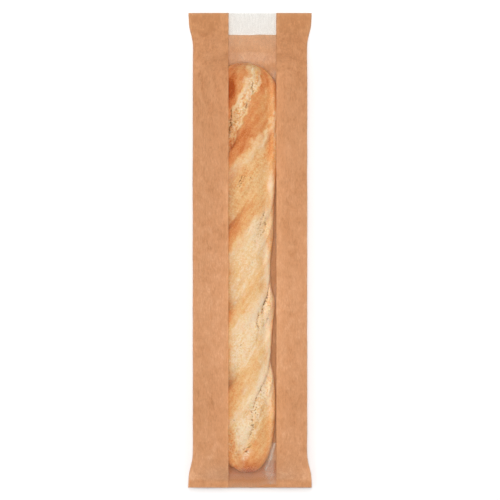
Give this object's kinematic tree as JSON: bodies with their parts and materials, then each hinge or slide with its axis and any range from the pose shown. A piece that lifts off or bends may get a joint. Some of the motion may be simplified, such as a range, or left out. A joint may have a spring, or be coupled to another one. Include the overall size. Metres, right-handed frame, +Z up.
{
  "type": "baguette in a windowed paper bag",
  "caption": "Long scored baguette lying in a flat kraft paper bag whose front has a clear film window along its whole length.",
  "frame": {"origin": "under the middle of the bag, on the surface that it lies on", "axes": "+X across the bag, +Y along it towards its mouth, +Z up through the window"},
  "size_m": [0.1586, 0.61, 0.052],
  "materials": {
    "crust": "matte",
    "kraft_paper": "matte",
    "clear_film": "gloss"
  },
  "bodies": {
    "root": {"loaf": "crust", "bag": "kraft_paper", "film": "clear_film"}
  },
  "joints": []
}
